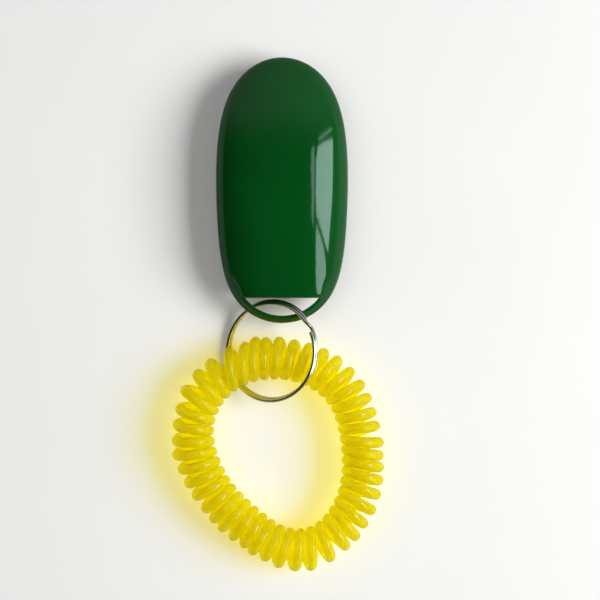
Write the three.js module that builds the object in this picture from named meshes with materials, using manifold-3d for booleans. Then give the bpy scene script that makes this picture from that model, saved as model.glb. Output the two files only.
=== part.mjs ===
// Clicker trainer: an oval two-shell case with a sprung thumb button over a click strip,
// a split ring on the case's lanyard bar, and a spiral wrist band on the ring.
// Millimetres, +Z up. The clicker lies button-down: the button's rim is at z = 0, the
// case's long axis is Y, and the lanyard bar is at the case's -Y end.
import * as THREE from "three";
import { mergeVertices } from "three/addons/utils/BufferGeometryUtils.js";
import Module from "manifold-3d";

// ---- driving dimensions ----
const ORIGIN_X = -0.0856;       // shifts the model so that the origin is under the middle of its box
const ORIGIN_Y = -0.1057;

const CASE_X = 1.10;            // case centre
const CASE_Y = 30.56;
const CASE_HALF_LENGTH = 32.57;
const CASE_WIDTH = [18.6009, -0.4454, 2.3909, -0.2786, -0.1162, 0.0296, -0.0474]; // cosine terms of the half width
const PART_Z = 5.8;             // parting plane
const PART_GAP = 0.2;           // shadow gap between the shells
const BACK_HEIGHT = 8.4;        // crown above the parting plane
const BACK_POWER = 2.2;
const FRONT_HEIGHT = 3.8;       // face below the parting plane
const FRONT_POWER = 2.6;
const WALL = 1.6;
const FACE_WALL = 1.5;

const SLOT_Y = 4.17;            // straight side of the lanyard slot
const SLOT_ARC_R = 11.5;        // bar's inner edge
const SLOT_ARC_BOTTOM = -0.17;
const BAR_RISE = 0.76;           // bar surface height against the crown's and the face's
const BAR_DROP = 0.45;
const ARM_X0 = 9.6, ARM_X1 = 12.6; // outside these the crown comes down to the bar's arms
const ARM_Y = 9.5;              // where that starts

const BUTTON_Y = 33.0;
const BUTTON_RX = 10.3, BUTTON_RY = 14.8;
const BUTTON_GAP = 0.35;
const FLANGE_RX = 11.5, FLANGE_RY = 16.0;
const FLANGE_Z0 = 3.8, FLANGE_Z1 = 4.7;
const BUTTON_TRAVEL = 1.5;
const STEM_R = 1.5, STEM_TOP = 6.0;

const STRIP_Z0 = 6.3, STRIP_T = 0.4, STRIP_W = 10.0;
const STRIP_Y0 = 9.8, STRIP_Y1 = 42.0;
const CLAMP_Y = 12.3, CLAMP_GAP = 0.35;

const RING_C = [-1.52, -8.76, 6.3];
const RING_R = 12.0;            // mean radius of each turn
const RING_WIRE = 0.9;          // wire diameter
const RING_PITCH = 0.95;        // between the two turns
const RING_SLIP = 0.22;         // each turn's shift off centre
const RING_TILT = 27;           // degrees, left side down
const RING_YAW = -4.4;          // degrees

const BAND_C = [0.1225, -34.055];
const BAND_POLAR = [21.85, 0.909, 0.925, -1.264, -1.703, -0.745, 0.483, -0.09, 0.178, 0.123, -0.08, -0.042, -0.117];
const BAND_R = 5.23;            // outside radius of the spiral
const BAND_HINGE_Y = -12.55;    // axis the band swings about inside the ring

// ---- helpers ----
const wasm = await Module();
wasm.setup();
const rad = (d) => (d * Math.PI) / 180;

function solid(geometry) {
  const g = geometry.clone();
  g.deleteAttribute("normal");
  g.deleteAttribute("uv");
  const m = mergeVertices(g, 1e-4);
  return new wasm.Manifold(
    new wasm.Mesh({
      numProp: 3,
      vertProperties: new Float32Array(m.attributes.position.array),
      triVerts: new Uint32Array(m.index.array),
    }),
  );
}

function geometryOf(manifold) {
  const m = manifold.getMesh();
  const g = new THREE.BufferGeometry();
  g.setAttribute("position", new THREE.BufferAttribute(new Float32Array(m.vertProperties), 3));
  g.setIndex(new THREE.BufferAttribute(new Uint32Array(m.triVerts), 1));
  g.computeVertexNormals();
  return g;
}

function box(x0, x1, y0, y1, z0, z1) {
  const g = new THREE.BoxGeometry(x1 - x0, y1 - y0, z1 - z0);
  g.translate((x0 + x1) / 2, (y0 + y1) / 2, (z0 + z1) / 2);
  return solid(g);
}

function post(x, y, r, z0, z1, sides = 20) {
  const g = new THREE.CylinderGeometry(r, r, z1 - z0, sides);
  g.rotateX(Math.PI / 2);
  g.translate(x, y, (z0 + z1) / 2);
  return solid(g);
}

function ellipsePlate(rx, ry, z0, z1, sides = 48, bevel = 0) {
  const points = [];
  for (let i = 0; i < sides; i++) {
    const a = (2 * Math.PI * i) / sides;
    points.push(new THREE.Vector2((rx - bevel) * Math.cos(a), (ry - bevel) * Math.sin(a)));
  }
  const g = new THREE.ExtrudeGeometry(new THREE.Shape(points), {
    depth: z1 - z0 - 2 * bevel,
    bevelEnabled: bevel > 0,
    bevelSize: bevel,
    bevelThickness: bevel,
    bevelSegments: 2,
  });
  g.translate(CASE_X, BUTTON_Y, z0 + bevel);
  return solid(g);
}

function joined(first, ...rest) {
  return rest.reduce((a, b) => a.add(b), first);
}

// Point of the case's outline; t = 0 at the +Y end, t = PI at the -Y end.
function outline(t, inset = 0) {
  const at = (s) => {
    let p = 0;
    CASE_WIDTH.forEach((c, k) => (p += c * Math.cos(k * s)));
    return [Math.sin(s) * p, CASE_HALF_LENGTH * Math.cos(s)];
  };
  const [x, y] = at(t);
  if (!inset) return [x, y];
  const [xa, ya] = at(t - 1e-3), [xb, yb] = at(t + 1e-3);
  const l = Math.hypot(xb - xa, yb - ya);
  return [x + (inset * (yb - ya)) / l, y - (inset * (xb - xa)) / l];
}

// Share of the crown's height that is left where it runs down into the bar's arms.
function armFall(x, y) {
  const side = THREE.MathUtils.smoothstep(Math.abs(x - CASE_X), ARM_X0, ARM_X1);
  const end = 1 - THREE.MathUtils.smoothstep(y, SLOT_Y, ARM_Y);
  return 1 - (1 - BAR_RISE) * side * end;
}

// Closed pebble: the outline scaled towards the centre while its height follows a superellipse.
function pebble(inset, up, upPower, down, downPower, around = 64, levels = 20, fall = () => 1) {
  const g = new THREE.SphereGeometry(1, around, levels);
  const p = g.attributes.position;
  for (let i = 0; i < p.count; i++) {
    const across = Math.hypot(p.getX(i), p.getZ(i));
    const height = p.getY(i);
    const power = height >= 0 ? upPower : downPower;
    const scale = across < 1e-6 ? 0 : Math.pow(across, 2 / power);
    const rise = Math.abs(height) < 1e-6 ? 0 : Math.pow(Math.abs(height), 2 / power);
    const t = Math.atan2(p.getX(i), -p.getZ(i));
    const [x, y] = outline(t, inset);
    const px = CASE_X + scale * x, py = CASE_Y + scale * y;
    p.setXYZ(i, px, py, PART_Z + (height >= 0 ? up * rise * fall(px, py) : -down * rise));
  }
  return solid(g);
}

const meshes = [];
function piece(name, manifold, color, roughness, metalness) {
  const mesh = new THREE.Mesh(
    geometryOf(manifold),
    new THREE.MeshStandardMaterial({ color, roughness, metalness }),
  );
  mesh.name = name;
  meshes.push(mesh);
}

// ---- case ----
const crown = pebble(0, BACK_HEIGHT, BACK_POWER, FRONT_HEIGHT, FRONT_POWER, 72, 24, armFall);
const barForm = pebble(0, BACK_HEIGHT * BAR_RISE, BACK_POWER, FRONT_HEIGHT * BAR_DROP, FRONT_POWER);
const hollow = pebble(WALL, BACK_HEIGHT - WALL, BACK_POWER, FRONT_HEIGHT - FACE_WALL, FRONT_POWER, 48, 16, armFall);

// D-shaped lanyard slot: straight towards the case, an arc along the bar.
const slotShape = (() => {
  const cy = SLOT_ARC_BOTTOM + SLOT_ARC_R;
  const half = Math.acos((cy - SLOT_Y) / SLOT_ARC_R);
  const points = [];
  for (let i = 0; i <= 20; i++) {
    const a = -half + (2 * half * i) / 20;
    points.push(new THREE.Vector2(CASE_X + SLOT_ARC_R * Math.sin(a), cy - SLOT_ARC_R * Math.cos(a)));
  }
  return new THREE.Shape(points);
})();
const slot = solid(new THREE.ExtrudeGeometry(slotShape, { depth: 30, bevelEnabled: false }).translate(0, 0, -8));

const BACK_Z = PART_Z + PART_GAP / 2, FRONT_Z = PART_Z - PART_GAP / 2;
const bosses = [[CASE_X - 9, 12], [CASE_X + 9, 12], [CASE_X - 8, 53], [CASE_X + 8, 53]];
const hollowBox = box(-30, 30, SLOT_Y + 1.8, 70, -5, 30);
const inside = hollow.intersect(hollowBox);

let back = crown.intersect(box(-30, 30, SLOT_Y, 70, BACK_Z, 30)).subtract(inside);
const inCrown = crown.intersect(box(-30, 30, SLOT_Y + 1, 70, BACK_Z, 30));
// bosses that take the front shell's pegs, and the ribs that hold the strip down
for (const [x, y] of bosses) back = back.add(post(x, y, 2.3, BACK_Z + 0.4, 30).intersect(inCrown));
const ribZ = STRIP_Z0 + STRIP_T + CLAMP_GAP;
back = joined(
  back,
  box(CASE_X - 4.2, CASE_X - 2.8, STRIP_Y0 + 0.4, CLAMP_Y + 2.2, ribZ, 30).intersect(inCrown),
  box(CASE_X + 2.8, CASE_X + 4.2, STRIP_Y0 + 0.4, CLAMP_Y + 2.2, ribZ, 30).intersect(inCrown),
  box(CASE_X - 4.2, CASE_X + 4.2, CLAMP_Y - 0.6, CLAMP_Y + 0.6, ribZ + 1.2, 30).intersect(inCrown),
);
for (const [x, y] of bosses) back = back.subtract(post(x, y, 1.35, -5, 10.2));
// lanyard bar and its arms, whole on the back shell
const bar = barForm
  .intersect(box(-30, 30, -10, SLOT_Y, -5, 30).add(box(-30, 30, SLOT_Y - 1, SLOT_Y + 1.6, BACK_Z, 30)))
  .subtract(slot);
back = back.add(bar);

let front = crown.intersect(box(-30, 30, SLOT_Y + 0.3, 70, -5, FRONT_Z)).subtract(inside);
const inFace = crown.intersect(box(-30, 30, SLOT_Y + 1, 70, -5, 30));
front = joined(
  front,
  // pads and side pegs that carry the strip's clamped end
  box(CASE_X - 4.2, CASE_X - 2.8, STRIP_Y0 + 0.4, CLAMP_Y + 2.2, 3.0, STRIP_Z0 - CLAMP_GAP).intersect(inFace),
  box(CASE_X + 2.8, CASE_X + 4.2, STRIP_Y0 + 0.4, CLAMP_Y + 2.2, 3.0, STRIP_Z0 - CLAMP_GAP).intersect(inFace),
  box(CASE_X - 6.6, CASE_X - 5.4, STRIP_Y0 + 1.0, CLAMP_Y + 1.6, 3.0, STRIP_Z0 + 0.9).intersect(inFace),
  box(CASE_X + 5.4, CASE_X + 6.6, STRIP_Y0 + 1.0, CLAMP_Y + 1.6, 3.0, STRIP_Z0 + 0.9).intersect(inFace),
);
for (const [x, y] of bosses) {
  front = joined(front, post(x, y, 2.0, 3.0, FRONT_Z).intersect(inFace), post(x, y, 1.0, 4.5, 9.4, 16));
}
// level seat for the button's flange, and the aperture
front = front.subtract(ellipsePlate(FLANGE_RX + 0.4, FLANGE_RY + 0.4, FLANGE_Z0 - 0.3, 5.6));
front = front.subtract(ellipsePlate(BUTTON_RX + BUTTON_GAP, BUTTON_RY + BUTTON_GAP, -5, 6));

// ---- push button ----
let button = joined(
  ellipsePlate(BUTTON_RX, BUTTON_RY, 0, FLANGE_Z1, 48, 0.45),
  ellipsePlate(FLANGE_RX, FLANGE_RY, FLANGE_Z0, FLANGE_Z1),
).subtract(ellipsePlate(BUTTON_RX - 1.4, BUTTON_RY - 1.4, 2.0, 8));
button = joined(
  button,
  box(CASE_X - 9.5, CASE_X + 9.5, BUTTON_Y - 0.45, BUTTON_Y + 0.45, 1.6, 3.6),
  box(CASE_X - 0.45, CASE_X + 0.45, BUTTON_Y - 14, BUTTON_Y + 14, 1.6, 3.6),
  post(CASE_X, BUTTON_Y, STEM_R, 1.6, STEM_TOP),
);
// thumb dish on the outside
const dish = new THREE.SphereGeometry(1, 48, 32);
dish.rotateX(Math.PI / 2);
dish.scale(9.0, 13.5, 1.45);
dish.translate(CASE_X, BUTTON_Y, -0.55);
button = button.subtract(solid(dish));

// ---- click strip: spring steel with a stamped dimple ----
const stripProfile = new THREE.Shape([
  new THREE.Vector2(STRIP_Y0, STRIP_Z0),
  new THREE.Vector2(STRIP_Y1 - 3, STRIP_Z0),
  new THREE.Vector2(STRIP_Y1, STRIP_Z0 + 0.5),
  new THREE.Vector2(STRIP_Y1, STRIP_Z0 + 0.5 + STRIP_T),
  new THREE.Vector2(STRIP_Y1 - 3, STRIP_Z0 + STRIP_T),
  new THREE.Vector2(STRIP_Y0, STRIP_Z0 + STRIP_T),
]);
const stripBlank = new THREE.ExtrudeGeometry(stripProfile, { depth: STRIP_W, bevelEnabled: false });
stripBlank.applyMatrix4(new THREE.Matrix4().makeBasis(
  new THREE.Vector3(0, 1, 0), new THREE.Vector3(0, 0, 1), new THREE.Vector3(1, 0, 0)));
stripBlank.translate(CASE_X - STRIP_W / 2, 0, 0);
const dome = (r, lift) => {
  const g = new THREE.SphereGeometry(r, 24, 24);
  g.rotateX(Math.PI / 2);
  g.translate(CASE_X, 24, lift);
  return solid(g);
};
const domeCut = box(-30, 30, 0, 60, STRIP_Z0 + STRIP_T / 2, 30);
const strip = solid(stripBlank)
  .add(dome(9.4, STRIP_Z0 + STRIP_T - 8.7).intersect(domeCut))
  .subtract(dome(9.0, STRIP_Z0 + STRIP_T - 8.7));

// ---- split ring: one wire wound twice, with a step from turn to turn ----
const ringFrame = new THREE.Matrix4()
  .makeTranslation(...RING_C)
  .multiply(new THREE.Matrix4().makeRotationZ(rad(RING_YAW)))
  .multiply(new THREE.Matrix4().makeRotationY(-rad(RING_TILT)));
const RING_START = 44, RING_STEP = 16; // degrees
function ringPoint(turn) {
  // turn in degrees from the wire's first end
  const lift = THREE.MathUtils.smoothstep(turn, 360 - RING_STEP, 360) - 0.5;
  const a = rad(RING_START + turn);
  return new THREE.Vector3(
    RING_R * Math.cos(a),
    RING_R * Math.sin(a) - 2 * RING_SLIP * lift,
    RING_PITCH * lift,
  ).applyMatrix4(ringFrame);
}
const ringPoints = [];
const RING_SPANS = 200;
for (let i = 0; i <= RING_SPANS; i++) ringPoints.push(ringPoint(((720 - RING_STEP) * i) / RING_SPANS));
const wireSection = new THREE.Shape(
  Array.from({ length: 8 }, (_, i) => new THREE.Vector2(
    (RING_WIRE / 2) * Math.cos((Math.PI * (i + 0.5)) / 4), (RING_WIRE / 2) * Math.sin((Math.PI * (i + 0.5)) / 4))),
);
const ring = solid(new THREE.ExtrudeGeometry(wireSection, {
  steps: RING_SPANS, extrudePath: new THREE.CatmullRomCurve3(ringPoints), bevelEnabled: false,
}));

// ---- wrist band: the spiral's outer form ----
function bandPoint(a) {
  let r = BAND_POLAR[0];
  for (let k = 1; k <= 6; k++) r += BAND_POLAR[2 * k - 1] * Math.cos(k * a) + BAND_POLAR[2 * k] * Math.sin(k * a);
  return [BAND_C[0] + r * Math.cos(a), BAND_C[1] + r * Math.sin(a)];
}
const bandGeometry = new THREE.TorusGeometry(2, 1, 12, 84);
{
  const p = bandGeometry.attributes.position;
  const flat = 1 / Math.cos(Math.PI / 12);
  for (let i = 0; i < p.count; i++) {
    const a = Math.atan2(p.getY(i), p.getX(i));
    const off = Math.hypot(p.getX(i), p.getY(i)) - 2, up = p.getZ(i);
    const v = Math.atan2(up, off) + Math.PI / 12;
    const [x, y] = bandPoint(a), [xa, ya] = bandPoint(a - 1e-3), [xb, yb] = bandPoint(a + 1e-3);
    const l = Math.hypot(xb - xa, yb - ya);
    const r = BAND_R * Math.cos(v) * flat, z = BAND_R * Math.sin(v) * flat;
    p.setXYZ(i, x + (r * (yb - ya)) / l, y - (r * (xb - xa)) / l, BAND_R + z);
  }
}
// Room for the ring's wire between the spiral's turns: necks turned about the band's swing axis.
const neckPoints = (() => {
  const near = (x) => {
    let best = 99;
    for (let d = 0; d < 360; d += 1) {
      const q = new THREE.Vector3(RING_R * Math.cos(rad(d)), RING_R * Math.sin(rad(d)), 0).applyMatrix4(ringFrame);
      if (Math.abs(q.x - x) > 1.15) continue;
      best = Math.min(best, Math.hypot(q.y - BAND_HINGE_Y, q.z - BAND_R));
    }
    return best - 1.35;
  };
  const edge = [];
  for (let x = -13.9; x <= 11.4; x += 0.55) edge.push([x, Math.min(near(x), 13)]);
  return edge;
})();
function neckCutter(from, to) {
  const edge = neckPoints.filter(([x]) => x >= from && x <= to);
  const points = edge.map(([x, r]) => new THREE.Vector2(r, x)).reverse();
  points.push(new THREE.Vector2(13.5, edge[0][0]), new THREE.Vector2(13.5, edge.at(-1)[0]), points[0].clone());
  const g = new THREE.LatheGeometry(points, 40);
  g.rotateZ(-Math.PI / 2);
  g.translate(0, BAND_HINGE_Y, BAND_R);
  return solid(g);
}
const band = solid(bandGeometry).subtract(neckCutter(-13.9, 11.4));

piece("back_shell", back, 0x0a4a1c, 0.2, 0);
piece("front_shell", front, 0x0a4a1c, 0.2, 0);
piece("push_button", button, 0xe8e6df, 0.35, 0);
piece("click_strip", strip, 0xb8bcc0, 0.3, 1);
piece("split_ring", ring, 0xc8c4b8, 0.15, 1);
piece("wrist_coil", band, 0xe0c802, 0.3, 0);

const model = new THREE.Group();
for (const mesh of meshes) model.add(mesh);
model.position.set(ORIGIN_X, ORIGIN_Y, 0);

export default model;
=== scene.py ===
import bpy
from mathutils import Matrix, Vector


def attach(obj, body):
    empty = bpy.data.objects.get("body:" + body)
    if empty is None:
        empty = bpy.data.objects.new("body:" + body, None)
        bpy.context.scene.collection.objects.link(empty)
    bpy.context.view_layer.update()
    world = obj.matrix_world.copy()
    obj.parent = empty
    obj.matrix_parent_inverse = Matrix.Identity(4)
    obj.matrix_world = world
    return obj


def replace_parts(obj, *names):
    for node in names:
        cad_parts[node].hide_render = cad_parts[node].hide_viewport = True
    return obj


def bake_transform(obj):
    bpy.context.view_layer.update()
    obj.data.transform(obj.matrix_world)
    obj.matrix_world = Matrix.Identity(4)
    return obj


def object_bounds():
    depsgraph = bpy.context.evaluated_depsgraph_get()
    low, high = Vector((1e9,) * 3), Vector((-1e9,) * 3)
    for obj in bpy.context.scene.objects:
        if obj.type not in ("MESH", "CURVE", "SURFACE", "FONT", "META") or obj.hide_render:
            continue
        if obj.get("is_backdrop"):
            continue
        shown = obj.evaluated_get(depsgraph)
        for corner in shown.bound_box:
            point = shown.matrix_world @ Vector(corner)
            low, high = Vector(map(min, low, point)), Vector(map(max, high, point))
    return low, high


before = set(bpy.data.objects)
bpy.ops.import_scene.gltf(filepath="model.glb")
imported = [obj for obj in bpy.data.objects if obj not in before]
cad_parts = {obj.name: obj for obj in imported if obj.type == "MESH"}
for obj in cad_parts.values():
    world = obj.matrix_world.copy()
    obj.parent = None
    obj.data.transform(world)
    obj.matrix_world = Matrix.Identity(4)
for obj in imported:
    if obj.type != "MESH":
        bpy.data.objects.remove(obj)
CAD_LOW, CAD_HIGH = (tuple(float(c) for c in v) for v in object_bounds())

import math

import bmesh
import bpy
import numpy as np
from mathutils import Matrix, Vector

rng = np.random.default_rng(93)
TAU = 2 * math.pi

# ---------------------------------------------------------------- dimensions, mm
SHIFT = np.array([-0.0856, -0.1057, 0.0])
CASE_X, CASE_Y, HALF_L = 1.10, 30.56, 32.545
CASE_WIDTH = [18.6009, -0.4454, 2.3909, -0.2786, -0.1162, 0.0296, -0.0474]
PART_Z, BACK_Z, FRONT_Z = 5.8, 5.9, 5.7
BACK_H, BACK_N, FRONT_H, FRONT_N = 8.4, 2.2, 3.8, 2.6
WALL, FACE_WALL = 1.6, 1.5
SLOT_Y, ARC_R, ARC_BOTTOM = 4.17, 11.5, -0.17
BAR_RISE, BAR_DROP = 0.76, 0.45
BUTTON_Y, BUTTON_RX, BUTTON_RY, BUTTON_GAP = 33.0, 10.3, 14.8, 0.35
FLANGE_RX, FLANGE_RY, FLANGE_Z0, FLANGE_Z1 = 11.5, 16.0, 3.8, 4.7
BOSSES = [(-9, 12), (9, 12), (-8, 53), (8, 53)]
RING_C, RING_R, WIRE_R = np.array([-1.52, -8.76, 6.3]), 12.0, 0.45
RING_PITCH, RING_SLIP, RING_TILT, RING_YAW = 0.95, 0.22, 27.0, -4.4
RING_START, RING_STEP = 44.0, 16.0
ARM_X0, ARM_X1, ARM_Y = 9.6, 12.6, 9.5
BAND_C = np.array([0.1225, -34.055])
BAND_POLAR = [21.85, 0.909, 0.925, -1.264, -1.703, -0.745, 0.483, -0.09, 0.178, 0.123, -0.08, -0.042, -0.117]
BAND_R, STRAND_R = 5.23, 1.275


# ---------------------------------------------------------------- mesh helpers
def collection_link(obj):
    bpy.context.scene.collection.objects.link(obj)
    return obj


def mesh_mm(name, verts, faces):
    """An object in millimetres, about the CAD source's own origin."""
    me = bpy.data.meshes.new(name)
    me.from_pydata([tuple(v) for v in verts], [], [tuple(int(i) for i in f) for f in faces])
    return collection_link(bpy.data.objects.new(name, me))


def clean(obj, distance=2e-4):
    bm = bmesh.new()
    bm.from_mesh(obj.data)
    bmesh.ops.remove_doubles(bm, verts=bm.verts, dist=distance)
    bmesh.ops.dissolve_degenerate(bm, edges=bm.edges, dist=distance)
    bmesh.ops.recalc_face_normals(bm, faces=bm.faces)
    bm.to_mesh(obj.data)
    bm.free()
    return obj


def boolean(obj, operation, *others):
    for other in others:
        m = obj.modifiers.new("b", "BOOLEAN")
        m.operation, m.solver, m.object = operation, "EXACT", other
        bpy.context.view_layer.update()
        made = bpy.data.meshes.new_from_object(obj.evaluated_get(bpy.context.evaluated_depsgraph_get()))
        obj.modifiers.clear()
        old, obj.data = obj.data, made
        bpy.data.meshes.remove(old)
        bpy.data.objects.remove(other)
    return obj


def to_frame(obj, angle=32.0):
    """Millimetres to the row frame in metres, smooth except at real edges."""
    clean(obj)
    obj.data.transform(Matrix.Scale(0.001, 4) @ Matrix.Translation(Vector(SHIFT)))
    obj.data.shade_smooth()
    obj.data.set_sharp_from_angle(angle=math.radians(angle))
    obj.data.update()
    return obj


def box_mm(x0, x1, y0, y1, z0, z1):
    v = [(x, y, z) for x in (x0, x1) for y in (y0, y1) for z in (z0, z1)]
    f = [(0, 1, 3, 2), (4, 6, 7, 5), (0, 4, 5, 1), (2, 3, 7, 6), (0, 2, 6, 4), (1, 5, 7, 3)]
    return mesh_mm("box", v, f)


def rings_mm(name, rings, close_ends=True, closed=False):
    """A skin through rings of the same number of points."""
    rings = [np.asarray(r, float) for r in rings]
    n = len(rings[0])
    verts = np.concatenate(rings)
    faces = []
    last = len(rings) if closed else len(rings) - 1
    for i in range(last):
        a, b = i * n, ((i + 1) % len(rings)) * n
        for k in range(n):
            faces.append((a + k, a + (k + 1) % n, b + (k + 1) % n, b + k))
    if close_ends and not closed:
        faces.append(tuple(reversed(range(n))))
        faces.append(tuple(range((len(rings) - 1) * n, len(rings) * n)))
    return mesh_mm(name, verts, faces)


def post_mm(x, y, profile, sides=40):
    """A turned post: profile is (radius, z) from one end to the other."""
    a = np.arange(sides) * TAU / sides
    return rings_mm("post", [np.stack([x + r * np.cos(a), y + r * np.sin(a), np.full(sides, z)], 1) for r, z in profile])


def ellipse_rings(profile, sides=160):
    a = np.arange(sides) * TAU / sides
    return [np.stack([CASE_X + rx * np.cos(a), BUTTON_Y + ry * np.sin(a), np.full(sides, z)], 1) for rx, ry, z in profile]


# ---------------------------------------------------------------- the wrist coil
def band_centre(a):
    a = np.asarray(a, float)
    r = BAND_POLAR[0] + sum(
        BAND_POLAR[2 * k - 1] * np.cos(k * a) + BAND_POLAR[2 * k] * np.sin(k * a) for k in range(1, 7)
    )
    return np.stack([BAND_C[0] + r * np.cos(a), BAND_C[1] + r * np.sin(a)], -1)


def band_normal(a):
    t = band_centre(a + 1e-4) - band_centre(a - 1e-4)
    t /= np.linalg.norm(t, axis=-1, keepdims=True)
    return np.stack([t[..., 1], -t[..., 0]], -1)


def ring_point(turn):
    turn = np.asarray(turn, float)
    q = np.clip((turn - (360 - RING_STEP)) / RING_STEP, 0, 1)
    lift = q * q * (3 - 2 * q) - 0.5
    a = np.radians(RING_START + turn)
    p = np.stack([RING_R * np.cos(a), RING_R * np.sin(a) - 2 * RING_SLIP * lift, RING_PITCH * lift], -1)
    turned = Matrix.Rotation(math.radians(RING_YAW), 3, "Z") @ Matrix.Rotation(-math.radians(RING_TILT), 3, "Y")
    return p @ np.array(turned).T + RING_C


# Angle of each turn's outer end about the band's middle, and how far it stands proud of the mean outline (mm).
TURNS = [
    (115.95, -0.08), (107.1, -0.25), (101.75, 0.43), (96.9, 0.02), (89.7, 0.07), (81.85, -0.12), (73.75, -0.03),
    (65.85, 0.07), (58.15, 0.15), (49.6, 0.04), (41.4, 0.09), (33.7, -0.03), (25.35, -0.12), (17.05, -0.08),
    (6.4, 0.2), (-1.7, -0.06), (-8.7, -0.08), (-16.15, 0.01), (-24.15, 0.08), (-32.85, 0.15), (-40.95, -0.17),
    (-48.35, -0.12), (-54.9, -0.36), (-63.8, -0.25), (-72.95, 0.22), (-79.8, 0.15), (-87.35, -0.16), (-94.25, -0.5),
    (-101.35, -0.21), (-107.45, -0.41), (-115.85, -0.01), (-126.0, 0.19), (-134.6, 0.04), (-143.5, -0.16),
    (-154.1, -0.1), (-163.85, 0.13), (-173.25, 0.23), (-182.25, 0.52), (-190.1, 0.22), (-198.15, -0.19),
    (-206.2, -0.13), (-215.55, 0.39), (-225.35, 0.21), (-233.6, -0.01),
]
PER_TURN = 32
COIL_PHASE = 2.4  # mm, the inner ends' lead over the outer ends


def coil_line():
    turns = list(reversed(TURNS))  # counter-clockwise from above
    n = len(turns)
    outer = np.radians(np.array([t[0] for t in turns]))
    proud = np.array([t[1] for t in turns])
    a = np.linspace(-TAU, 2 * TAU, 21601)
    inner_line = band_centre(a) - (BAND_R - STRAND_R) * band_normal(a)
    s = np.concatenate([[0], np.cumsum(np.linalg.norm(np.diff(inner_line, axis=0), axis=1))])
    whole = np.interp(TAU, a, s) - np.interp(0.0, a, s)
    # inner ends packed evenly round the band
    lead = np.interp(outer[-1], a, s) + COIL_PHASE
    inner_s = lead - (n - 1 - np.arange(n)) * whole / n
    inner = np.interp(inner_s, s, a)
    knots_u = np.concatenate([[k, k + 0.5] for k in range(n)])
    knots_a = np.concatenate([[outer[k], inner[k]] for k in range(n)])
    ext_u = np.concatenate([knots_u - n, knots_u, knots_u + n])
    ext_a = np.concatenate([knots_a - TAU, knots_a, knots_a + TAU])
    # smooth monotone curve through the knots
    h, d = np.diff(ext_u), np.diff(ext_a) / np.diff(ext_u)
    m = np.zeros(len(ext_u))
    m[1:-1] = np.where(d[1:] * d[:-1] > 0, 2 * d[1:] * d[:-1] / (d[1:] + d[:-1] + 1e-12), 0)
    m[0], m[-1] = d[0], d[-1]
    u = np.arange(n * PER_TURN) / PER_TURN
    j = np.clip(np.searchsorted(ext_u, u, side="right") - 1, 0, len(h) - 1)
    t = (u - ext_u[j]) / h[j]
    ang = (
        (2 * t**3 - 3 * t**2 + 1) * ext_a[j] + (t**3 - 2 * t**2 + t) * h[j] * m[j]
        + (-2 * t**3 + 3 * t**2) * ext_a[j + 1] + (t**3 - t**2) * h[j] * m[j + 1]
    )
    stand = np.interp(u, np.arange(-1, n + 1), np.concatenate([[proud[-1]], proud, [proud[0]]]))
    phase = TAU * u
    rho = BAND_R - STRAND_R
    out = rho * np.cos(phase) + stand * np.clip(np.cos(phase), 0, 1) ** 2
    wander = 0.10 * np.sin(u * 1.7 + 0.4) + 0.07 * np.sin(u * 4.1 + 2.0)
    up = rho * np.sin(phase) + wander * np.clip(np.sin(phase), 0, 1) ** 2
    c, nn = band_centre(ang), band_normal(ang)
    return np.concatenate([c + out[:, None] * nn, (BAND_R + up)[:, None]], 1), ang


def relax(p0):
    """Moves the coil's line as little as it needs to clear itself, the ring's wire and the table."""
    p, n = p0.copy(), len(p0)
    i, j = np.triu_indices(n, PER_TURN // 2)
    gap = np.minimum(j - i, n - (j - i))
    near = (gap > PER_TURN // 2) & (np.linalg.norm(p0[i] - p0[j], axis=1) < 5.2)
    i, j = i[near], j[near]
    wire = ring_point(np.linspace(0, 720 - RING_STEP, 420))
    close = np.flatnonzero(np.linalg.norm(p0[:, None] - wire[None], axis=2).min(1) < 7)
    need_self, need_wire = 2 * STRAND_R + 0.02, STRAND_R + WIRE_R + 0.03
    low = np.array(CAD_LOW) * 1000 - SHIFT + STRAND_R + 0.01
    high = np.array(CAD_HIGH) * 1000 - SHIFT - STRAND_R - 0.01
    low[2] = STRAND_R
    for step in range(420):
        d = p[i] - p[j]
        l = np.linalg.norm(d, axis=1)
        hit = l < need_self
        push = np.zeros_like(p)
        count = np.zeros(n)
        if hit.any():
            v = d[hit] / l[hit, None] * ((need_self - l[hit]) * 0.5)[:, None]
            np.add.at(push, i[hit], v)
            np.add.at(push, j[hit], -v)
            np.add.at(count, i[hit], 1)
            np.add.at(count, j[hit], 1)
        d = p[close][:, None] - wire[None]
        l = np.linalg.norm(d, axis=2)
        k = l.argmin(1)
        lk = l[np.arange(len(close)), k]
        hit = lk < need_wire
        if hit.any():
            v = d[np.arange(len(close)), k][hit] / lk[hit, None] * (need_wire - lk[hit])[:, None]
            push[close[hit]] += v * 2
            count[close[hit]] += 1
        p += 0.9 * push / np.maximum(count, 1)[:, None]
        p = np.clip(p, low, high)
        moved = p - p0
        if step < 400:
            blur = (np.roll(moved, 1, 0) + np.roll(moved, -1, 0)) / 2
            w = 0.35 if step < 360 else 0.12
            moved = moved * (1 - w) + blur * w
            if step < 330:
                moved *= 0.995
            p = p0 + moved
    p = np.clip(p, low, high)
    d = np.linalg.norm(p[i] - p[j], axis=1)
    w = np.linalg.norm(p[close][:, None] - wire[None], axis=2).min()
    print("coil: nearest turns", round(float(d.min()), 3), "nearest wire", round(float(w), 3), "moved", round(float(np.abs(p - p0).max()), 3))
    return p


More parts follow.
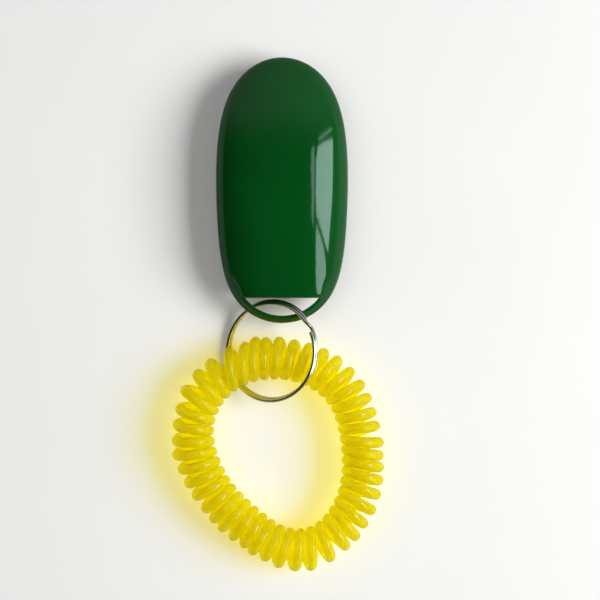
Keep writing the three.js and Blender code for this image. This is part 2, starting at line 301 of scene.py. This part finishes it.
def tube(line, centre_line, radii, sides):
    """Closed tube; its section starts on the side away from the helix's own axis."""
    n = len(line)
    t = np.roll(line, -1, 0) - np.roll(line, 1, 0)
    t /= np.linalg.norm(t, axis=1, keepdims=True)
    r = line - centre_line
    r -= (r * t).sum(1, keepdims=True) * t
    r /= np.linalg.norm(r, axis=1, keepdims=True)
    b = np.cross(t, r)
    a = np.arange(sides) * TAU / sides
    v = line[:, None] + radii[:, None, None] * (np.cos(a)[None, :, None] * r[:, None] + np.sin(a)[None, :, None] * b[:, None])
    faces = []
    for q in range(n):
        s0, s1 = q * sides, ((q + 1) % n) * sides
        for k in range(sides):
            faces.append((s0 + k, s1 + k, s1 + (k + 1) % sides, s0 + (k + 1) % sides))
    return v.reshape(-1, 3), faces


def make_coil():
    p0, ang = coil_line()
    p = relax(p0)
    c = np.concatenate([band_centre(ang), np.full((len(ang), 1), BAND_R)], 1)
    # the fused joint is on the underside, where the two ends of the strand meet
    n = len(p)
    joint = int(20.75 * PER_TURN)
    p, c = np.roll(p, -joint, 0), np.roll(c, -joint, 0)
    along = np.minimum(np.arange(n), n - np.arange(n)).astype(float)
    radii = np.full(n, STRAND_R)
    radii += 0.05 * np.exp(-((along / 1.6) ** 2)) - 0.05 * np.exp(-(((along - 3.4) / 1.2) ** 2))
    p[:, 2] = np.maximum(p[:, 2], np.maximum(radii, STRAND_R))
    v, f = tube(p, c, radii, 16)
    obj = mesh_mm("coil_strand", v, f)
    to_frame(obj, 60)
    path = (p + SHIFT) * 0.001
    return obj, np.concatenate([path, path[:1]])


# ---------------------------------------------------------------- the split ring
def make_ring():
    steps = 360
    turn = np.linspace(0, 720 - RING_STEP, steps + 1)
    line = ring_point(turn)
    t = np.gradient(line, axis=0)
    t /= np.linalg.norm(t, axis=1, keepdims=True)
    axis = np.array(Matrix.Rotation(math.radians(RING_YAW), 3, "Z") @ Matrix.Rotation(-math.radians(RING_TILT), 3, "Y"))[:, 2]
    side = np.cross(t, axis)
    side /= np.linalg.norm(side, axis=1, keepdims=True)
    up = np.cross(side, t)
    sides = 20
    a = np.arange(sides) * TAU / sides

    def section(k, r, slip=0.0):
        return line[k] + slip * t[k] + r * (np.cos(a)[:, None] * side[k] + np.sin(a)[:, None] * up[k])

    r = WIRE_R - 0.004
    rings = [section(0, 0.5 * r), section(0, r - 0.07), section(0, r, 0.07)]
    rings += [section(k, r) for k in range(1, steps)]
    rings += [section(steps, r, -0.07), section(steps, r - 0.07), section(steps, 0.5 * r)]
    obj = rings_mm("ring_wire", rings)
    return to_frame(obj, 35)


# ---------------------------------------------------------------- the case
def outline(t):
    t = np.asarray(t, float)
    return np.sin(t) * sum(c * np.cos(k * t) for k, c in enumerate(CASE_WIDTH)), HALF_L * np.cos(t)


def outline_table(inset):
    t = np.linspace(0, TAU, 2881)
    x, y = outline(t)
    xa, ya = outline(t - 1e-3)
    xb, yb = outline(t + 1e-3)
    l = np.hypot(xb - xa, yb - ya)
    x, y = x + inset * (yb - ya) / l, y - inset * (xb - xa) / l
    phi = np.unwrap(np.arctan2(x, y))
    return {"t": t, "x": x, "y": y, "phi": phi, "r": np.hypot(x, y)}


def share(tab, x, y):
    """How far a point is from the middle to the outline, 0 to 1 and beyond."""
    phi = np.mod(np.arctan2(x, y), TAU)
    lo = tab["phi"][0]
    phi = np.where(phi < lo, phi + TAU, phi)
    return np.hypot(x, y) / np.interp(phi, tab["phi"], tab["r"], period=TAU)


def height(tab, x, y, h, n):
    s = np.clip(share(tab, x, y), 0, 1)
    return h * np.power(np.clip(1 - s**n, 0, 1), 1 / n)


def smooth(v, a, b):
    q = np.clip((v - a) / (b - a), 0, 1)
    return q * q * (3 - 2 * q)


def arm_fall(x, y):
    """Share of the crown's height that is left where it runs down into the bar's arms."""
    return 1 - (1 - BAR_RISE) * smooth(np.abs(x), ARM_X0, ARM_X1) * (1 - smooth(y + CASE_Y, SLOT_Y, ARM_Y))


def cup_grid(inset, y0, h, n, base, sign, fillet, rows=110, cols=96):
    """Rows run from the far end to the slot's wall and down it; columns from one rim to the other."""
    tab = outline_table(inset)
    half = len(tab["t"]) // 2 + 1
    ty, tx, tt = tab["y"][:half], tab["x"][:half], tab["t"][:half]
    top = ty[0]
    start = y0 + fillet
    t_end = np.interp(-start, -ty, tt)
    stations = np.linspace(0, t_end, rows)
    theta = np.linspace(0, math.pi, cols + 1)
    grid = []
    for t in stations:
        y, w = np.interp(t, tt, ty), max(np.interp(t, tt, tx), 0)
        x = w * np.cos(theta)
        z = height(tab, x, np.full_like(x, min(y, top)), h, n)
        if sign > 0:
            z = z * arm_fall(x, y)
        grid.append(np.stack([x, np.full_like(x, y), z], 1))
    for q in np.linspace(0, math.pi / 2, 9)[1:]:
        y = y0 + fillet * (1 - math.sin(q))
        w = np.interp(-y, -ty, tx)
        x = w * np.cos(theta)
        z = height(tab, x, np.full_like(x, y), h, n)
        if sign > 0:
            z = z * arm_fall(x, y)
        # the edge's rounding dies away where the crown meets the arms
        z = z - fillet * (1 - math.cos(q)) * (1 - smooth(np.abs(x), ARM_X0 + 0.6, ARM_X1) if sign > 0 else 1)
        grid.append(np.stack([x, np.full_like(x, y), z], 1))
    last = grid[-1]
    for q in (0.34, 0.67, 1.0):
        row = last.copy()
        row[:, 2] = np.maximum(last[:, 2], 0) * (1 - q)
        grid.append(row)
    grid = np.array(grid)
    off = abs(base - PART_Z)
    grid[..., 2] = PART_Z + sign * np.maximum(grid[..., 2], off)
    grid[..., 0] += CASE_X
    grid[..., 1] += CASE_Y
    return grid


def shell(name, outer, inner):
    rows, cols = outer.shape[:2]
    n = rows * cols
    verts = np.concatenate([outer.reshape(-1, 3), inner.reshape(-1, 3)])
    faces = []
    for r in range(rows - 1):
        for c in range(cols - 1):
            a = r * cols + c
            faces.append((a, a + 1, a + cols + 1, a + cols))
            faces.append((n + a, n + a + cols, n + a + cols + 1, n + a + 1))
    edge = [r * cols for r in range(rows)] + [(rows - 1) * cols + c for c in range(1, cols)]
    edge += [r * cols + cols - 1 for r in range(rows - 2, -1, -1)]
    for a, b in zip(edge, edge[1:]):
        faces.append((a, b, n + b, n + a))
    return clean(mesh_mm(name, verts, faces), 1e-4)


def make_bar():
    tab = outline_table(0)
    cy = ARC_BOTTOM + ARC_R - CASE_Y
    sections = []
    for a in np.radians(np.linspace(-74, 74, 149)):
        dx, dy = math.sin(a), -math.cos(a)
        rho = np.linspace(ARC_R, ARC_R + 9, 400)
        s = share(tab, rho * dx, cy + rho * dy)
        end = np.interp(1.0, s, rho)
        q = np.sin(np.linspace(0, math.pi / 2, 22))
        wide = end - ARC_R
        f_top, f_low = min(0.6, 0.4 * wide), min(0.4, 0.3 * wide)

        def side(h, n, f, lift):
            fil = np.linspace(0, 1, 8)
            near = ARC_R + f * (1 - np.cos(fil * math.pi / 2))
            far = ARC_R + f + (wide - f) * q[1:]
            r = np.concatenate([near, far])
            z = height(tab, r * dx, cy + r * dy, h, n)
            inside = np.clip((f - (r - ARC_R)) / f, 0, 1)
            z = z - f * (1 - np.sqrt(1 - inside**2))
            buried = smooth(CASE_Y + cy + r * dy, SLOT_Y + 0.02, SLOT_Y + 0.3)
            return r, lift * z * (1 - 0.06 * buried)

        r1, z1 = side(BACK_H * BAR_RISE, BACK_N, f_top, 1)
        r2, z2 = side(FRONT_H * BAR_DROP, FRONT_N, f_low, -1)
        z2 = np.minimum(z2, 0)
        r = np.concatenate([r1, r2[::-1][1:]])
        z = np.concatenate([z1, z2[::-1][1:]])
        sections.append(np.stack([CASE_X + r * dx, CASE_Y + cy + r * dy, PART_Z + z], 1))
    bar = clean(rings_mm("bar", sections), 1e-4)
    boolean(bar, "DIFFERENCE", box_mm(-30, 30, SLOT_Y, 40, -5, BACK_Z), box_mm(-30, 30, SLOT_Y + 1.5, 40, -5, 30))
    return bar


def make_back():
    y0 = SLOT_Y - CASE_Y
    outer = cup_grid(0, y0, BACK_H, BACK_N, BACK_Z, 1, 0.38)
    inner = cup_grid(WALL, y0 + 1.8, BACK_H - WALL, BACK_N, BACK_Z, 1, 0.3)
    obj = shell("case_back", outer, inner)
    boolean(obj, "UNION", make_bar())
    tab = outline_table(0)
    for dx, y in BOSSES:
        around = np.arange(24) * TAU / 24
        high = height(tab, dx + 2.3 * np.cos(around), y - CASE_Y + 2.3 * np.sin(around), BACK_H, BACK_N)
        top = PART_Z + float(np.min(high)) - 0.5  # inside the wall all round
        boolean(obj, "UNION", post_mm(CASE_X + dx, y, [(2.3, BACK_Z + 0.4), (2.3, top)]))
    rib = 7.05
    for x0, x1 in ((-4.2, -2.8), (2.8, 4.2)):
        boolean(obj, "UNION", box_mm(CASE_X + x0, CASE_X + x1, 10.2, 14.5, rib, 11.0))
    boolean(obj, "UNION", box_mm(CASE_X - 4.1, CASE_X + 4.1, 11.7, 12.9, rib + 1.2, 11.0))
    for dx, y in BOSSES:
        boolean(obj, "DIFFERENCE", post_mm(CASE_X + dx, y, [(1.55, 5.0), (1.55, 6.35), (1.35, 6.6), (1.35, 10.2)]))
    return to_frame(obj, 28)


def make_front():
    y0 = SLOT_Y + 0.3 - CASE_Y
    outer = cup_grid(0, y0, FRONT_H, FRONT_N, FRONT_Z, -1, 0.38)
    inner = cup_grid(WALL, y0 + 1.5, FRONT_H - FACE_WALL, FRONT_N, FRONT_Z, -1, 0.2)
    obj = shell("case_front", outer, inner)
    for x0, x1 in ((-4.2, -2.8), (2.8, 4.2)):
        boolean(obj, "UNION", box_mm(CASE_X + x0, CASE_X + x1, 10.2, 14.5, 3.0, 5.95))
    for x0, x1 in ((-6.6, -5.4), (5.4, 6.6)):
        boolean(obj, "UNION", box_mm(CASE_X + x0, CASE_X + x1, 10.8, 13.9, 3.0, 7.2))
    tab = outline_table(0)
    for dx, y in BOSSES:
        around = np.arange(24) * TAU / 24
        deep = height(tab, dx + 2.0 * np.cos(around), y - CASE_Y + 2.0 * np.sin(around), FRONT_H, FRONT_N)
        foot = PART_Z - float(np.min(deep)) + 0.5  # inside the wall all round
        boolean(obj, "UNION", post_mm(CASE_X + dx, y, [(2.0, foot), (2.0, 5.7), (1.0, 5.7), (1.0, 9.1), (0.7, 9.4)]))
    # level seat for the button's flange, then the aperture with its rounded lip
    seat = rings_mm("seat", ellipse_rings([(FLANGE_RX + 0.4, FLANGE_RY + 0.4, 3.5), (FLANGE_RX + 0.4, FLANGE_RY + 0.4, 5.6)]))
    boolean(obj, "DIFFERENCE", seat)
    sides, lip = 200, 0.32
    a = np.arange(sides) * TAU / sides

    def at(extra):
        return CASE_X + (BUTTON_RX + BUTTON_GAP + extra) * np.cos(a), BUTTON_Y + (BUTTON_RY + BUTTON_GAP + extra) * np.sin(a)

    def face(extra):
        x, y = at(extra)
        return PART_Z - height(tab, x - CASE_X, y - CASE_Y, FRONT_H, FRONT_N)

    rings = []
    x, y = at(lip)
    rings.append(np.stack([x, y, face(lip) - 2.0], 1))
    for q in np.linspace(0, math.pi / 2, 8):
        extra = lip * (1 - math.sin(q))
        x, y = at(extra)
        rings.append(np.stack([x, y, face(extra) - 0.005 + lip * (1 - math.cos(q))], 1))
    x, y = at(0)
    rings.append(np.stack([x, y, np.full(sides, 7.0)], 1))
    boolean(obj, "DIFFERENCE", clean(rings_mm("aperture", rings), 1e-4))
    return to_frame(obj, 28)


def make_button():
    profile = []
    for q in np.linspace(0.004, 1.0, 40):
        s = q * 0.985
        deep = -0.55 + 1.45 * math.sqrt(max(1 - s * s, 0))
        z = 0.5 * (deep + math.sqrt(deep * deep + 0.012))  # rounded where the dish meets the rim
        z = z * min(1.0, (1 - q) / 0.06) if q > 0.94 else z
        profile.append((9.0 * s, 13.5 * s, z))
    profile += [(9.25, 13.75, 0.0), (9.6, 14.1, 0.0)]
    for q in np.linspace(0, math.pi / 2, 9)[1:]:
        profile.append((9.6 + 0.7 * math.sin(q), 14.1 + 0.7 * math.sin(q), 0.7 * (1 - math.cos(q))))
    profile += [(10.3, 14.8, 2.0), (10.3, 14.8, 3.78), (10.36, 14.86, 3.8), (11.42, 15.92, 3.8), (11.5, 16.0, 3.88)]
    profile += [(11.5, 16.0, 4.62), (11.42, 15.92, 4.7), (9.0, 13.5, 4.7), (8.9, 13.4, 4.6), (8.9, 13.4, 2.25)]
    profile += [(8.65, 13.15, 2.0), (4.0, 6.5, 2.0), (0.6, 0.6, 2.0)]
    obj = clean(rings_mm("button_cap", ellipse_rings(profile, 144)), 1e-4)
    boolean(obj, "UNION", box_mm(CASE_X - 9.5, CASE_X + 9.5, BUTTON_Y - 0.45, BUTTON_Y + 0.45, 1.7, 3.6))
    boolean(obj, "UNION", box_mm(CASE_X - 0.45, CASE_X + 0.45, BUTTON_Y - 14, BUTTON_Y + 14, 1.7, 3.6))
    boolean(obj, "UNION", post_mm(CASE_X, BUTTON_Y, [(1.5, 1.7), (1.5, 5.8), (1.3, 6.0)]))
    return to_frame(obj, 30)


# ---------------------------------------------------------------- materials
def nodes_of(name):
    mat = bpy.data.materials.new(name)
    mat.use_nodes = True
    nt = mat.node_tree
    return mat, nt, nt.nodes["Principled BSDF"]


def add(nt, kind, **values):
    node = nt.nodes.new(kind)
    for key, value in values.items():
        if key in node.inputs:
            node.inputs[key].default_value = value
        else:
            setattr(node, key.lower().replace(" ", "_"), value)
    return node


def place(nt, scale=(1, 1, 1), turn=(0, 0, 0)):
    """Object coordinates in millimetres, stretched and turned."""
    tc = nt.nodes.new("ShaderNodeTexCoord")
    mp = nt.nodes.new("ShaderNodeMapping")
    mp.inputs["Scale"].default_value = [1000 * s for s in scale]
    mp.inputs["Rotation"].default_value = [math.radians(t) for t in turn]
    nt.links.new(tc.outputs["Object"], mp.inputs["Vector"])
    return mp.outputs["Vector"]


def noise(nt, vector, scale, detail=3.0, rough=0.5):
    n = add(nt, "ShaderNodeTexNoise", Scale=scale, Detail=detail, Roughness=rough)
    nt.links.new(vector, n.inputs["Vector"])
    return n.outputs["Fac"]


def ramp(nt, fac, stops):
    r = nt.nodes.new("ShaderNodeValToRGB")
    el = r.color_ramp.elements
    while len(el) < len(stops):
        el.new(0.5)
    for e, (pos, col) in zip(el, stops):
        e.position = pos
        e.color = (*col, 1) if len(col) == 3 else col
    nt.links.new(fac, r.inputs["Fac"])
    return r.outputs["Color"]


def spread(nt, fac, low, high):
    m = add(nt, "ShaderNodeMapRange")
    m.inputs["To Min"].default_value = low
    m.inputs["To Max"].default_value = high
    nt.links.new(fac, m.inputs["Value"])
    return m.outputs["Result"]


def combine(nt, operation, a, b):
    m = nt.nodes.new("ShaderNodeMath")
    m.operation = operation
    for socket, value in zip(m.inputs, (a, b)):
        if isinstance(value, (int, float)):
            socket.default_value = value
        else:
            nt.links.new(value, socket)
    return m.outputs["Value"]


def bump(nt, shader, height_socket, strength, distance_mm):
    b = add(nt, "ShaderNodeBump", Strength=strength, Distance=distance_mm * 0.001)
    nt.links.new(height_socket, b.inputs["Height"])
    nt.links.new(b.outputs["Normal"], shader.inputs["Normal"])


def scratches(nt, turn, scale=(0.9, 0.03, 0.9), cut=0.71, at=9.0):
    """Sparse hairline marks: 0 off a mark, 1 on it."""
    n = noise(nt, place(nt, scale, turn), at, 2.0, 0.6)
    return ramp(nt, n, [(cut, (0, 0, 0)), (cut + 0.035, (1, 1, 1))])


def green_abs():
    mat, nt, bsdf = nodes_of("green_abs_gloss")
    v = place(nt)
    base = ramp(nt, noise(nt, v, 0.06, 2.0), [(0.3, (0.0006, 0.057, 0.0066)), (0.7, (0.0011, 0.068, 0.0086))])
    nt.links.new(base, bsdf.inputs["Base Color"])
    marks = combine(nt, "MAXIMUM", scratches(nt, (0, 0, 12)), scratches(nt, (0, 0, -38), at=7.0))
    dust = ramp(nt, noise(nt, v, 2.2, 4.0, 0.6), [(0.45, (0, 0, 0)), (0.75, (1, 1, 1))])
    rough = combine(nt, "ADD", spread(nt, marks, 0.07, 0.15), spread(nt, dust, 0.0, 0.035))
    nt.links.new(rough, bsdf.inputs["Roughness"])
    bsdf.inputs["IOR"].default_value = 1.45
    peel = combine(nt, "ADD", noise(nt, v, 0.35, 2.0), combine(nt, "MULTIPLY", marks, -0.25))
    bump(nt, bsdf, peel, 0.22, 0.05)
    return mat


def white_abs():
    mat, nt, bsdf = nodes_of("white_abs_satin")
    v = place(nt)
    base = ramp(nt, noise(nt, v, 0.12, 3.0), [(0.3, (0.79, 0.77, 0.72)), (0.7, (0.84, 0.83, 0.79))])
    nt.links.new(base, bsdf.inputs["Base Color"])
    grain = noise(nt, v, 6.0, 3.0, 0.6)
    nt.links.new(spread(nt, grain, 0.34, 0.46), bsdf.inputs["Roughness"])
    bsdf.inputs["Subsurface Weight"].default_value = 0.1
    bsdf.inputs["Subsurface Radius"].default_value = (0.001, 0.0009, 0.0008)
    bump(nt, bsdf, grain, 0.25, 0.03)
    return mat


def nickel():
    mat, nt, bsdf = nodes_of("nickel_wire")
    v = place(nt)
    base = ramp(nt, noise(nt, v, 0.5, 4.0), [(0.3, (0.76, 0.72, 0.66)), (0.7, (0.86, 0.82, 0.76))])
    nt.links.new(base, bsdf.inputs["Base Color"])
    bsdf.inputs["Metallic"].default_value = 1.0
    draw = noise(nt, place(nt, (1, 1, 1), (27, 40, 0)), 9.0, 4.0, 0.65)
    marks = scratches(nt, (15, 25, 50), (1.0, 0.08, 1.0), 0.66, 6.0)
    rough = combine(nt, "ADD", spread(nt, draw, 0.12, 0.22), spread(nt, marks, 0.0, 0.1))
    nt.links.new(rough, bsdf.inputs["Roughness"])
    bump(nt, bsdf, combine(nt, "ADD", draw, combine(nt, "MULTIPLY", marks, -0.4)), 0.16, 0.02)
    return mat


def spring_steel():
    mat, nt, bsdf = nodes_of("brushed_spring_steel")
    grain = noise(nt, place(nt, (4, 0.12, 4)), 3.0, 5.0, 0.7)
    base = ramp(nt, grain, [(0.25, (0.42, 0.43, 0.44)), (0.75, (0.62, 0.63, 0.64))])
    nt.links.new(base, bsdf.inputs["Base Color"])
    bsdf.inputs["Metallic"].default_value = 1.0
    nt.links.new(spread(nt, grain, 0.2, 0.42), bsdf.inputs["Roughness"])
    bump(nt, bsdf, grain, 0.3, 0.02)
    return mat


def yellow_tpu():
    mat, nt, bsdf = nodes_of("yellow_tpu_translucent")
    v = place(nt)
    base = ramp(nt, noise(nt, v, 0.09, 3.0), [(0.3, (0.80, 0.72, 0.003)), (0.7, (0.85, 0.775, 0.006))])
    nt.links.new(base, bsdf.inputs["Base Color"])
    smear = noise(nt, v, 0.9, 4.0, 0.6)
    nt.links.new(spread(nt, smear, 0.03, 0.09), bsdf.inputs["Roughness"])
    bsdf.inputs["IOR"].default_value = 1.75
    bsdf.inputs["Subsurface Weight"].default_value = 1.0
    bsdf.inputs["Subsurface Radius"].default_value = (1.0, 1.0, 0.06)
    bsdf.inputs["Subsurface Scale"].default_value = 0.005
    bump(nt, bsdf, combine(nt, "ADD", smear, noise(nt, v, 0.3, 2.0)), 0.18, 0.06)
    # light that comes in on the far side of a strand leaves on this one
    glow_through = nt.nodes.new("ShaderNodeBsdfTranslucent")
    nt.links.new(base, glow_through.inputs["Color"])
    body = nt.nodes.new("ShaderNodeMixShader")
    body.inputs["Fac"].default_value = 0.5
    nt.links.new(bsdf.outputs["BSDF"], body.inputs[1])
    nt.links.new(glow_through.outputs["BSDF"], body.inputs[2])
    # lamplight gets through the plastic, tinted, and lights the turns behind it and the table
    clear = nt.nodes.new("ShaderNodeBsdfTransparent")
    clear.inputs["Color"].default_value = (0.93, 0.895, 0.13, 1)
    mix = nt.nodes.new("ShaderNodeMixShader")
    through = combine(nt, "MAXIMUM", nt.nodes.new("ShaderNodeLightPath").outputs["Is Shadow Ray"], 0.45)
    nt.links.new(through, mix.inputs["Fac"])
    nt.links.new(body.outputs["Shader"], mix.inputs[1])
    nt.links.new(clear.outputs["BSDF"], mix.inputs[2])
    nt.links.new(mix.outputs["Shader"], nt.nodes["Material Output"].inputs["Surface"])
    return mat


def table_white():
    mat, nt, bsdf = nodes_of("table_white")
    v = place(nt)
    base = ramp(nt, noise(nt, v, 0.02, 3.0), [(0.3, (0.90, 0.90, 0.895)), (0.7, (0.92, 0.92, 0.915))])
    # painted shade: in reflections the table's colour is swapped for a dark grey, standing in for a table beyond the
    # lamp's pool
    painted_shade_in_gloss = nt.nodes.new("ShaderNodeMix")
    painted_shade_in_gloss.data_type = "RGBA"
    nt.links.new(nt.nodes.new("ShaderNodeLightPath").outputs["Is Glossy Ray"], painted_shade_in_gloss.inputs[0])
    nt.links.new(base, painted_shade_in_gloss.inputs[6])
    # painted shade: the dark grey the table shows in reflections only
    painted_shade_in_gloss.inputs[7].default_value = (0.28, 0.31, 0.29, 1)
    nt.links.new(painted_shade_in_gloss.outputs[2], bsdf.inputs["Base Color"])
    bsdf.inputs["Roughness"].default_value = 0.55
    return mat


def dress(obj, material):
    obj.data.materials.clear()
    obj.data.materials.append(material)


GREEN, WHITE, NICKEL, STEEL, YELLOW = green_abs(), white_abs(), nickel(), spring_steel(), yellow_tpu()

# ---------------------------------------------------------------- the pieces
back = make_back()
dress(back, GREEN)
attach(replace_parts(back, "back_shell"), "case")

front = make_front()
dress(front, GREEN)
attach(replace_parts(front, "front_shell"), "case")

button = make_button()
dress(button, WHITE)
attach(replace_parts(button, "push_button"), "button")

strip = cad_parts["click_strip"]
dress(strip, STEEL)

ring = make_ring()
dress(ring, NICKEL)
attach(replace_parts(ring, "split_ring"), "ring")

coil, coil_path = make_coil()
dress(coil, YELLOW)
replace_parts(coil, "wrist_coil")
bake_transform(coil)

# ---------------------------------------------------------------- table, light and camera
floor = mesh_mm("table_top", [(-900, -900, 0), (900, -900, 0), (900, 900, 0), (-900, 900, 0)], [(0, 1, 2, 3)])
floor.data.transform(Matrix.Scale(0.001, 4))
floor.data.materials.append(table_white())
floor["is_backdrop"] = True


def lamp(name, at, look, size, power, colour=(1, 1, 1), glossy=True):
    data = bpy.data.lights.new(name, "AREA")
    data.shape = "RECTANGLE"
    data.size, data.size_y = size
    data.energy = power
    data.color = colour
    obj = collection_link(bpy.data.objects.new(name, data))
    obj.location = at
    obj.rotation_mode = "QUATERNION"
    obj.rotation_quaternion = (Vector(look) - Vector(at)).to_track_quat("-Z", "Y")
    obj.visible_glossy = glossy
    obj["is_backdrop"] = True
    return obj


# The key is one soft lamp. The window that mirrors in the gloss is a set of bright panes behind it.
PANES = [
    [(0.263, 0.924), (0.233, 0.614), (0.198, 0.274), (0.118, 0.323), (0.056, 0.34), (0.023, 0.367), (-0.024, 0.387),
     (-0.104, 0.4), (-0.084, 0.504), (-0.035, 0.665), (0.004, 0.831), (0.034, 0.966), (0.073, 1.014), (0.112, 1.028),
     (0.187, 1.016)],
    [(-0.019, 0.969), (-0.036, 0.828), (-0.081, 0.66), (-0.148, 0.514), (-0.202, 0.441), (-0.261, 0.387),
     (-0.379, 0.306), (-0.513, 0.268), (-0.595, 0.459), (-0.529, 0.739), (-0.409, 0.945), (-0.239, 1.025),
     (-0.105, 1.001)],
    [(0.324, 1.335), (0.319, 1.122), (0.174, 1.108), (0.076, 1.099), (-0.02, 1.113), (-0.024, 1.188), (0.083, 1.258),
     (0.172, 1.318)],
    [(0.321, 0.902), (0.287, 0.641), (0.245, 0.251), (0.234, 0.281), (0.26, 0.604), (0.292, 0.868)],
]


def glow(name, colour, strength):
    mat = bpy.data.materials.new(name)
    mat.use_nodes = True
    nt = mat.node_tree
    nt.nodes.clear()
    e = add(nt, "ShaderNodeEmission", Strength=strength)
    e.inputs["Color"].default_value = (*colour, 1)
    nt.links.new(e.outputs["Emission"], add(nt, "ShaderNodeOutputMaterial").inputs["Surface"])
    return mat


for number, (pane, strength) in enumerate(zip(PANES, (7.8, 6.3, 3.5, 3.9))):
    me = bpy.data.meshes.new(f"pane_{number}")
    me.from_pydata([(0.6, y, z) for y, z in pane], [], [tuple(range(len(pane)))])
    me.materials.append(glow(f"pane_glow_{number}", (0.72, 1.0, 0.93), strength))
    obj = collection_link(bpy.data.objects.new(f"pane_{number}", me))
    obj.visible_diffuse = False
    obj.visible_shadow = False
    obj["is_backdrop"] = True

lamp("window_key", (0.95, -0.03, 0.69), (0, -0.01, 0), (0.8, 0.62), 17.2, (1.0, 0.995, 0.985), glossy=False)
lamp("fill_top", (-0.42, 0.1, 0.88), (0, 0, 0), (1.1, 1.1), 2.9, glossy=False)

# The room: even and dim for the light it gives, and for what mirrors in the gloss a paler wall and ceiling
# beyond the top and the right, dark to the left.
world = bpy.data.worlds.new("room")
bpy.context.scene.world = world
world.use_nodes = True
sky = world.node_tree
even = sky.nodes["Background"]
even.inputs["Color"].default_value = (1.0, 0.985, 0.95, 1)
even.inputs["Strength"].default_value = 0.12
facing = sky.nodes.new("ShaderNodeSeparateXYZ")
sky.links.new(sky.nodes.new("ShaderNodeTexCoord").outputs["Generated"], facing.inputs["Vector"])


def step(value, low, high, to_low, to_high):
    node = sky.nodes.new("ShaderNodeMapRange")
    node.interpolation_type = "SMOOTHSTEP"
    for socket, number in (("From Min", low), ("From Max", high), ("To Min", to_low), ("To Max", to_high)):
        node.inputs[socket].default_value = number
    sky.links.new(value, node.inputs["Value"])
    return node.outputs["Result"]


toward_x, toward_y, toward_z = (facing.outputs[k] for k in "XYZ")
horizon = step(toward_z, 0.10, 0.26, 1.0, 0.0)
walls = combine(sky, "MAXIMUM", step(toward_y, 0.2, 0.75, 0.0, 0.3), step(toward_y, -0.75, -0.2, 0.9, 0.0))
walls = combine(sky, "MAXIMUM", walls, step(toward_x, 0.2, 0.7, 0.0, 0.5))
mirrored = combine(sky, "MAXIMUM", combine(sky, "MULTIPLY", horizon, walls), step(toward_y, 0.16, 0.5, 0.015, 0.33))
mirrored = combine(sky, "MAXIMUM", mirrored, step(toward_x, 0.4, 0.7, 0.0, 0.16))
gloss = sky.nodes.new("ShaderNodeBackground")
gloss.inputs["Color"].default_value = (0.90, 1.0, 0.96, 1)
sky.links.new(mirrored, gloss.inputs["Strength"])
either = sky.nodes.new("ShaderNodeMixShader")
sky.links.new(sky.nodes.new("ShaderNodeLightPath").outputs["Is Glossy Ray"], either.inputs["Fac"])
sky.links.new(even.outputs["Background"], either.inputs[1])
sky.links.new(gloss.outputs["Background"], either.inputs[2])
sky.links.new(either.outputs["Shader"], sky.nodes["World Output"].inputs["Surface"])

cam_data = bpy.data.cameras.new("camera")
cam_data.sensor_width = 36.0
cam_data.lens = 36.0 * 0.42 / 0.147
cam_data.clip_start, cam_data.clip_end = 0.01, 10.0
camera = collection_link(bpy.data.objects.new("camera", cam_data))
camera.location = (0.005427, 0.003569, 0.426)
bpy.context.scene.camera = camera
bpy.context.scene.view_settings.view_transform = "Standard"
